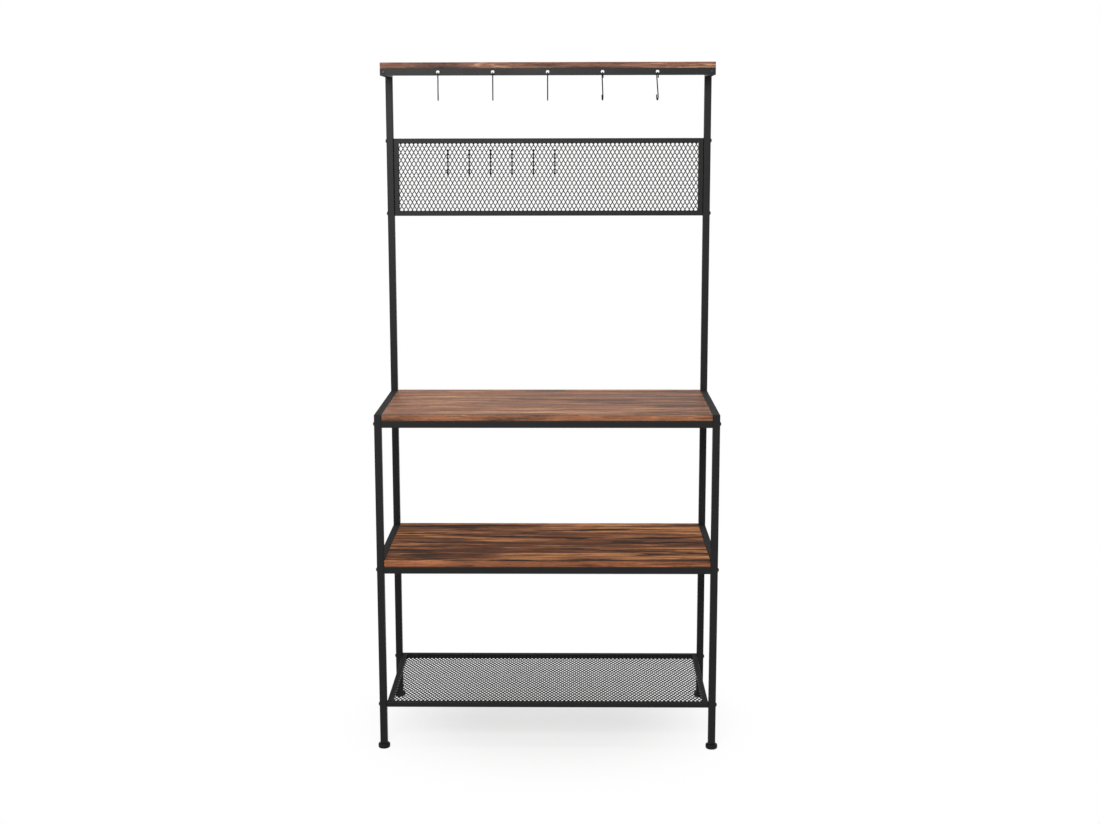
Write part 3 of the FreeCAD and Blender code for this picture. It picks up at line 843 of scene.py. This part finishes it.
def cross_screw(name, length):
    """Pan-head screw whose head stands on the XY plane and whose shank hangs below."""
    sizes = bpy.context.scene.rack_sizes
    height = sizes.screw_head_height
    radius = sizes.screw_head / 2
    deselect()
    bpy.ops.mesh.primitive_cylinder_add(vertices=HEAD_SIDES, radius=radius, depth=height)
    screw = closed(started(name))
    opened(settled(screw, Matrix.Translation((0.0, 0.0, height / 2))))
    select_upper_rim(screw, height, radius)
    bpy.ops.mesh.bevel(offset=sizes.screw_dome, segments=5)
    select_where(screw, "FACE", lambda m: m.z < height * (1 - RIM_SHARE))
    bpy.ops.mesh.inset(thickness=radius - sizes.screw_shank / 2)
    bpy.ops.mesh.extrude_region_move(TRANSFORM_OT_translate={"value": (0.0, 0.0, -length)})
    turned_outwards()
    closed(screw)
    for turn in (0.0, QUARTER_TURN):
        deselect()
        bpy.ops.mesh.primitive_cube_add(size=1.0)
        cutter = started("cross_cutter")
        bpy.ops.transform.resize(value=(sizes.slot_length, sizes.slot_width, 2 * sizes.slot_depth))
        closed(cutter)
        settled(cutter, Matrix.Translation((0.0, 0.0, height)) @ Matrix.Rotation(turn, 4, "Z"))
        combined(screw, "DIFFERENCE", cutter)
    return screw


class RACK_OT_panel_mesh(bpy.types.Operator):
    """Makes the expanded metal of the back panel"""

    bl_idname = "rack.panel_mesh"
    bl_label = "Panel mesh"

    def execute(self, context):
        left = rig.box("panel_left_stile")[1].x
        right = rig.box("panel_right_stile")[0].x
        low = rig.box("panel_bottom_rail")[1].z
        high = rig.box("panel_top_rail")[0].z
        sizes = context.scene.rack_sizes
        cell = (sizes.panel_cell_width, sizes.panel_cell_height)
        gap = self.hook_gap(cell, sizes)
        sheet = expanded_metal("panel_expanded_metal", cell, (left, low), (right, high), gap)
        depth = Matrix.Translation((0.0, middle_of("panel_top_rail").y, 0.0))
        settled(sheet, depth @ Matrix.Rotation(QUARTER_TURN, 4, "X"))
        handed_over(sheet, RACK, "mesh_metal", "panel_mesh")
        return {"FINISHED"}

    def hook_gap(self, cell, sizes):
        """Middle of the gap that the first hook hangs in, so that the hook rests on its lower end."""
        swing = next(j for j in frame["joints"] if j["name"] == "panel_hook_1_swing")
        pivot = Vector(swing["pos_m"])
        width, height = cell
        slope = math.atan(width / height)
        half_gap = (height / 2 - sizes.strand / 2 / math.sin(slope)) * (1 - 2 * sizes.bond / height)
        return (pivot.x, pivot.z - sizes.hook_seat + half_gap)


class RACK_OT_shelf_mesh(bpy.types.Operator):
    """Makes the expanded metal of the bottom shelf"""

    bl_idname = "rack.shelf_mesh"
    bl_label = "Shelf mesh"

    def execute(self, context):
        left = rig.box("bottom_shelf_left_rail")[1].x
        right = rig.box("bottom_shelf_right_rail")[0].x
        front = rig.box("bottom_shelf_front_rail")[1].y
        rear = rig.box("bottom_shelf_rear_rail")[0].y
        sizes = context.scene.rack_sizes
        cell = (sizes.shelf_cell_width, sizes.shelf_cell_depth)
        centre = (0.0, 0.0)
        sheet = expanded_metal("shelf_expanded_metal", cell, (left, front), (right, rear), centre)
        height = middle_of("bottom_shelf_front_rail").z
        settled(sheet, Matrix.Translation((0.0, 0.0, height)))
        handed_over(sheet, RACK, "mesh_metal", "bottom_shelf_mesh")
        return {"FINISHED"}


class RACK_OT_cross_screws(bpy.types.Operator):
    """Makes the cross-slot screws in the front of the top shelf and in the post joints"""

    bl_idname = "rack.cross_screws"
    bl_label = "Cross-slot screws"

    def execute(self, context):
        sizes = context.scene.rack_sizes
        head = sizes.screw_head_height
        low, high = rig.box("angle_screws")
        height = (low.z + high.z) / 2
        seats = [(middle_of(side + "_top_arm").x, low.y + head, height) for side in SIDES]
        facing_front = Matrix.Rotation(QUARTER_TURN, 4, "X")
        self.drive("front_cross_screws", "angle_screws", seats, facing_front, FRONT_SCREW_TURNS)

        low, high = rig.box("joint_screws")
        heights = (low.z + sizes.screw_head / 2, high.z - sizes.screw_head / 2)
        posts = [middle_of(side + "_upper_post").x for side in SIDES]
        seats = [(post, high.y - head, height) for post in posts for height in heights]
        facing_back = Matrix.Rotation(-QUARTER_TURN, 4, "X")
        self.drive("joint_cross_screws", "joint_screws", seats, facing_back, JOINT_SCREW_TURNS)
        return {"FINISHED"}

    def drive(self, name, node, seats, facing, turns):
        """Puts a screw on every seat and joins them in the place of their node."""
        low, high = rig.box(node)
        head = bpy.context.scene.rack_sizes.screw_head_height
        first = cross_screw(name + "_pattern", high.y - low.y - head)
        screws = []
        for number, (seat, degrees) in enumerate(zip(seats, turns)):
            turn = Matrix.Rotation(math.radians(degrees), 4, "Z")
            screw = copy_of(first, f"{name}_{number}")
            screws.append(settled(screw, Matrix.Translation(seat) @ facing @ turn))
        bpy.data.objects.remove(first)
        piece = smoothed(joined(screws, name), 35)
        handed_over(piece, RACK, "bolt_metal", node)


class RACK_OT_foot_threads(bpy.types.Operator):
    """Makes the threaded studs of the levelling feet"""

    bl_idname = "rack.foot_threads"
    bl_label = "Foot threads"

    def execute(self, context):
        sizes = context.scene.rack_sizes
        low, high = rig.box("left_front_foot_stud")
        radius = (high.x - low.x) / 2
        height = high.z - low.z
        stud = self.rod(radius - sizes.thread_depth, height, sizes.thread_depth)
        combined(stud, "UNION", self.ridge(radius, height, sizes))
        for foot in FEET:
            node = foot + "_foot_stud"
            low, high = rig.box(node)
            place = ((low.x + high.x) / 2, (low.y + high.y) / 2, low.z)
            piece = settled(copy_of(stud, foot + "_threaded_stud"), Matrix.Translation(place))
            smoothed(piece, 30)
            handed_over(piece, foot + "_foot", "zinc_steel", node)
        bpy.data.objects.remove(stud)
        return {"FINISHED"}

    def rod(self, radius, height, bevel):
        """Rod of the thread's root diameter with a bevelled upper end."""
        deselect()
        bpy.ops.mesh.primitive_cylinder_add(vertices=THREAD_SIDES, radius=radius, depth=height)
        rod = started("foot_stud")
        select_upper_rim(rod, height / 2, radius)
        bpy.ops.mesh.bevel(offset=bevel, segments=2)
        closed(rod)
        # Half a side's turn keeps the rod's edges off the ridge's.
        half_side = Matrix.Rotation(math.pi / THREAD_SIDES, 4, "Z")
        return settled(rod, Matrix.Translation((0.0, 0.0, height / 2)) @ half_side)

    def ridge(self, radius, height, sizes):
        """Ridge of the thread, wound round Z, with its foot sunk into the rod."""
        pitch = sizes.thread_pitch
        width = pitch * RIDGE_WIDTH_SHARE / TRIANGLE_SIDE
        depth = sizes.thread_depth * RIDGE_HEIGHT_SHARE / TRIANGLE_HEIGHT
        deselect()
        bpy.ops.mesh.primitive_circle_add(vertices=3, radius=1.0, fill_type="NOTHING")
        ridge = started("foot_ridge")
        bpy.ops.transform.resize(value=(width, depth, 1.0), center_override=(0.0, 0.0, 0.0))
        closed(ridge)
        outwards = Matrix.Rotation(-QUARTER_TURN, 4, "Z") @ Matrix.Rotation(-QUARTER_TURN, 4, "Y")
        settled(ridge, Matrix.Translation((radius - depth, 0.0, pitch)) @ outwards)
        applied(
            ridge,
            "SCREW",
            screw_offset=pitch,
            iterations=int(height / pitch) - 2,
            steps=THREAD_SIDES,
            render_steps=THREAD_SIDES,
            use_smooth_shade=False,
        )
        opened(ridge)
        bpy.ops.mesh.fill_holes(sides=3)
        turned_outwards()
        return closed(ridge)


class RACK_OT_frame_finish(bpy.types.Operator):
    """Coats the tubes, bars, rails, sleeves and front angle"""

    bl_idname = "rack.frame_finish"
    bl_label = "Frame finish"

    def execute(self, context):
        finish_nodes({"frame_metal", "mesh_metal"})
        return {"FINISHED"}


class RACK_OT_board_finish(bpy.types.Operator):
    """Gives the three boards their wood grain"""

    bl_idname = "rack.board_finish"
    bl_label = "Board finish"

    def execute(self, context):
        finish_nodes({"wood_board"})
        return {"FINISHED"}


class RACK_OT_hook_finish(bpy.types.Operator):
    """Coats the hooks"""

    bl_idname = "rack.hook_finish"
    bl_label = "Hook finish"

    def execute(self, context):
        finish_nodes({"hook_wire"})
        return {"FINISHED"}


class RACK_OT_foot_finish(bpy.types.Operator):
    """Gives the feet and the legs' inserts their plastic"""

    bl_idname = "rack.foot_finish"
    bl_label = "Foot finish"

    def execute(self, context):
        finish_nodes({"foot_plastic"})
        return {"FINISHED"}


class RACK_OT_fastener_finish(bpy.types.Operator):
    """Blackens the bolts and screws and plates the plugs"""

    bl_idname = "rack.fastener_finish"
    bl_label = "Fastener finish"

    def execute(self, context):
        finish_nodes({"bolt_metal", "zinc_steel"})
        return {"FINISHED"}


class RACK_OT_stage(bpy.types.Operator):
    """Sets the floor, the light and the camera"""

    bl_idname = "rack.stage"
    bl_label = "Stage"

    def execute(self, context):
        stage = context.scene.rack_stage
        context.scene.view_settings.view_transform = "Standard"
        self.lay_floor(stage)
        self.set_sky(context, stage)
        self.hang_lamp("key_lamp", stage.key_place, KEY_TARGET, stage.key_size, stage.key_power)
        self.hang_lamp("top_lamp", stage.top_place, TOP_TARGET, stage.top_size, stage.top_power)
        self.set_camera(context, stage)
        return {"FINISHED"}

    def seen(self, finish):
        """1 for the camera, reflections and glass, and 0 for the light that falls on the rack."""
        camera, glossy, through = [
            finish.node("ShaderNodeLightPath", output=kind)
            for kind in ("Is Camera Ray", "Is Glossy Ray", "Is Transmission Ray")
        ]
        return finish.maths("MAXIMUM", camera, finish.maths("MAXIMUM", glossy, through))

    def lay_floor(self, stage):
        """Pale floor that looks white away from the rack and keeps its shadow near it."""
        deselect()
        bpy.ops.mesh.primitive_plane_add(size=FLOOR_SIZE)
        floor = named(bpy.context.object, "studio_floor")
        finish = Finish(bpy.data.materials.new("studio_floor"))
        grain = finish.noise(finish.coordinates(), scale=3.0)
        colour = finish.mixed(grain, scaled(stage.floor, 0.99), tuple(stage.floor))
        matt = finish.node("ShaderNodeBsdfDiffuse", None, {"Color": colour})
        white = finish.node("ShaderNodeEmission", None, {"Color": WHITE, "Strength": 1.0})
        start = {0: finish.coordinates()}
        distance = finish.node("ShaderNodeVectorMath", {"operation": "LENGTH"}, start, output="Value")
        faded = distance.above(SHADOW_NEAR, SHADOW_FAR)
        white_share = 1.0 - stage.shadow * (1.0 - faded)
        shares = {0: white_share * self.seen(finish), 1: matt, 2: white}
        mixed = finish.node("ShaderNodeMixShader", None, shares)
        finish.node("ShaderNodeOutputMaterial", None, {"Surface": mixed})
        floor.data.materials.append(finish.owner)
        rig.stage(floor)

    def set_sky(self, context, stage):
        """Soft light from all round, which looks white itself."""
        world = bpy.data.worlds.new("studio")
        context.scene.world = world
        finish = Finish(world)
        strength = stage.sky + (1.0 - stage.sky) * self.seen(finish)
        sky = finish.node("ShaderNodeBackground", None, {"Color": WHITE, "Strength": strength})
        finish.node("ShaderNodeOutputWorld", None, {"Surface": sky})

    def hang_lamp(self, name, place, target, size, power):
        """Round soft lamp that looks at a point."""
        deselect()
        bpy.ops.object.light_add(type="AREA", location=place)
        lamp = bpy.context.object
        lamp.name = name
        lamp.data.shape = "DISK"
        lamp.data.size = size
        lamp.data.energy = power
        direction = Vector(target) - Vector(place)
        lamp.rotation_euler = direction.to_track_quat("-Z", "Y").to_euler()

    def set_camera(self, context, stage):
        """Camera at the photograph's viewing angle."""
        deselect()
        bpy.ops.object.camera_add()
        camera = bpy.context.object
        camera.name = "photo_camera"
        camera.data.sensor_width = SENSOR_WIDTH
        camera.data.lens = stage.lens
        camera.data.shift_y = stage.shift
        camera.matrix_world = (
            Matrix.Translation(stage.camera_place)
            @ Matrix.Rotation(stage.yaw, 4, "Z")
            @ Matrix.Rotation(QUARTER_TURN - stage.pitch, 4, "X")
            @ Matrix.Rotation(stage.roll, 4, "Z")
        )
        context.scene.camera = camera


class RACK_PT_panel(bpy.types.Panel):
    """Lists the rack's pieces and finishes"""

    bl_idname = "RACK_PT_panel"
    bl_label = "Bakers rack"
    bl_space_type = "VIEW_3D"
    bl_region_type = "UI"
    bl_category = "Rack"

    def draw(self, context):
        column = self.layout.column()
        for operator in OPERATORS:
            column.operator(operator.bl_idname)
        scene = context.scene
        for group in (scene.rack_sizes, scene.rack_finishes, scene.rack_stage):
            box = self.layout.box()
            for name in group.__annotations__:
                box.prop(group, name)


OPERATORS = (
    RACK_OT_frame_finish,
    RACK_OT_board_finish,
    RACK_OT_hook_finish,
    RACK_OT_foot_finish,
    RACK_OT_fastener_finish,
    RACK_OT_panel_mesh,
    RACK_OT_shelf_mesh,
    RACK_OT_cross_screws,
    RACK_OT_foot_threads,
    RACK_OT_stage,
)
CLASSES = (RackSizes, RackFinishes, RackStage, *OPERATORS, RACK_PT_panel)


def register():
    for made in CLASSES:
        bpy.utils.register_class(made)
    bpy.types.Scene.rack_sizes = PointerProperty(type=RackSizes)
    bpy.types.Scene.rack_finishes = PointerProperty(type=RackFinishes)
    bpy.types.Scene.rack_stage = PointerProperty(type=RackStage)


def unregister():
    del bpy.types.Scene.rack_stage
    del bpy.types.Scene.rack_finishes
    del bpy.types.Scene.rack_sizes
    for made in reversed(CLASSES):
        bpy.utils.unregister_class(made)


def main():
    register()
    bpy.ops.rack.frame_finish()
    bpy.ops.rack.board_finish()
    bpy.ops.rack.hook_finish()
    bpy.ops.rack.foot_finish()
    bpy.ops.rack.fastener_finish()
    bpy.ops.rack.panel_mesh()
    bpy.ops.rack.shelf_mesh()
    bpy.ops.rack.cross_screws()
    bpy.ops.rack.foot_threads()
    bpy.ops.rack.stage()
    boxes = {"cad": [list(corner) for corner in cad_box]}
    boxes["visual"] = [list(corner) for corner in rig.bounds()]
    with open("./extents.json", "w") as file:
        json.dump(boxes, file, indent=1)


if __name__ == "__main__":
    main()
